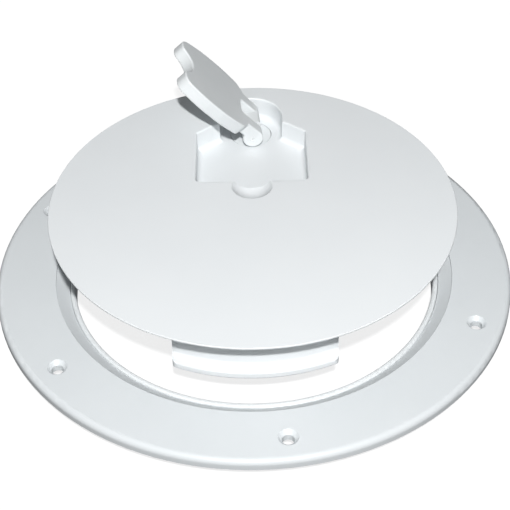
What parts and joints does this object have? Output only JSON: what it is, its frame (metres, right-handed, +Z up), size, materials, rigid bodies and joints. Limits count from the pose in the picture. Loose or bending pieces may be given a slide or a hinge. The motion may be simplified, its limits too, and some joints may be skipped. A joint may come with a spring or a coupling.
{
  "type": "deck hatch",
  "caption": "Round deck hatch: a flanged ring with a conical seat, and a flush lid with a fold-down lever latch and a fixed catch.",
  "frame": {"origin": "centre of the screw-hole circle, on the deck plane, which is the underside of the flange", "axes": "+Z up out of the deck along the ring's axis; the lid's fixed catch is at -Y and the latch is at +Y; +X to the right as seen from the catch's side"},
  "size_m": [0.215, 0.215, 0.0766],
  "materials": {
    "ring_plastic": "white moulded plastic, semi-gloss",
    "lid_plastic": "white moulded plastic, semi-gloss, very fine grain",
    "lever_plastic": "white moulded plastic, satin",
    "pin_plastic": "white plastic, satin",
    "tongue_plastic": "white moulded plastic, matt",
    "bush_plastic": "natural white acetal, satin",
    "seal_rubber": "white soft rubber, matt",
    "o_ring_rubber": "black rubber, lightly greased",
    "stainless": "stainless steel, turned"
  },
  "bodies": {
    "ring": {"deck_ring": "ring_plastic", "ring_seal": "seal_rubber"},
    "lid": {"lid_panel": "lid_plastic", "spindle_bush": "bush_plastic"},
    "latch": {"spindle": "lever_plastic", "spindle_o_ring": "o_ring_rubber", "spring_washer": "stainless", "locking_tongue": "tongue_plastic", "tongue_washer": "stainless", "tongue_screw": "stainless"},
    "lever": {"lever": "lever_plastic", "hinge_pin": "pin_plastic"}
  },
  "joints": [
    {"name": "lid_lift", "type": "slide", "parent": "ring", "child": "lid", "axis": [0, 0, 1], "range_m": [-0.0331, 0.03]},
    {"name": "latch_turn", "type": "hinge", "parent": "lid", "child": "latch", "pos_m": [0, 0.0604, 0.033], "axis": [0, 0, 1], "range_deg": [-5, 85]},
    {"name": "lever_fold", "type": "hinge", "parent": "latch", "child": "lever", "pos_m": [0, 0.0604, 0.033], "axis": [-0.0872, 0.9962, 0], "range_deg": [0, 42.5]}
  ]
}
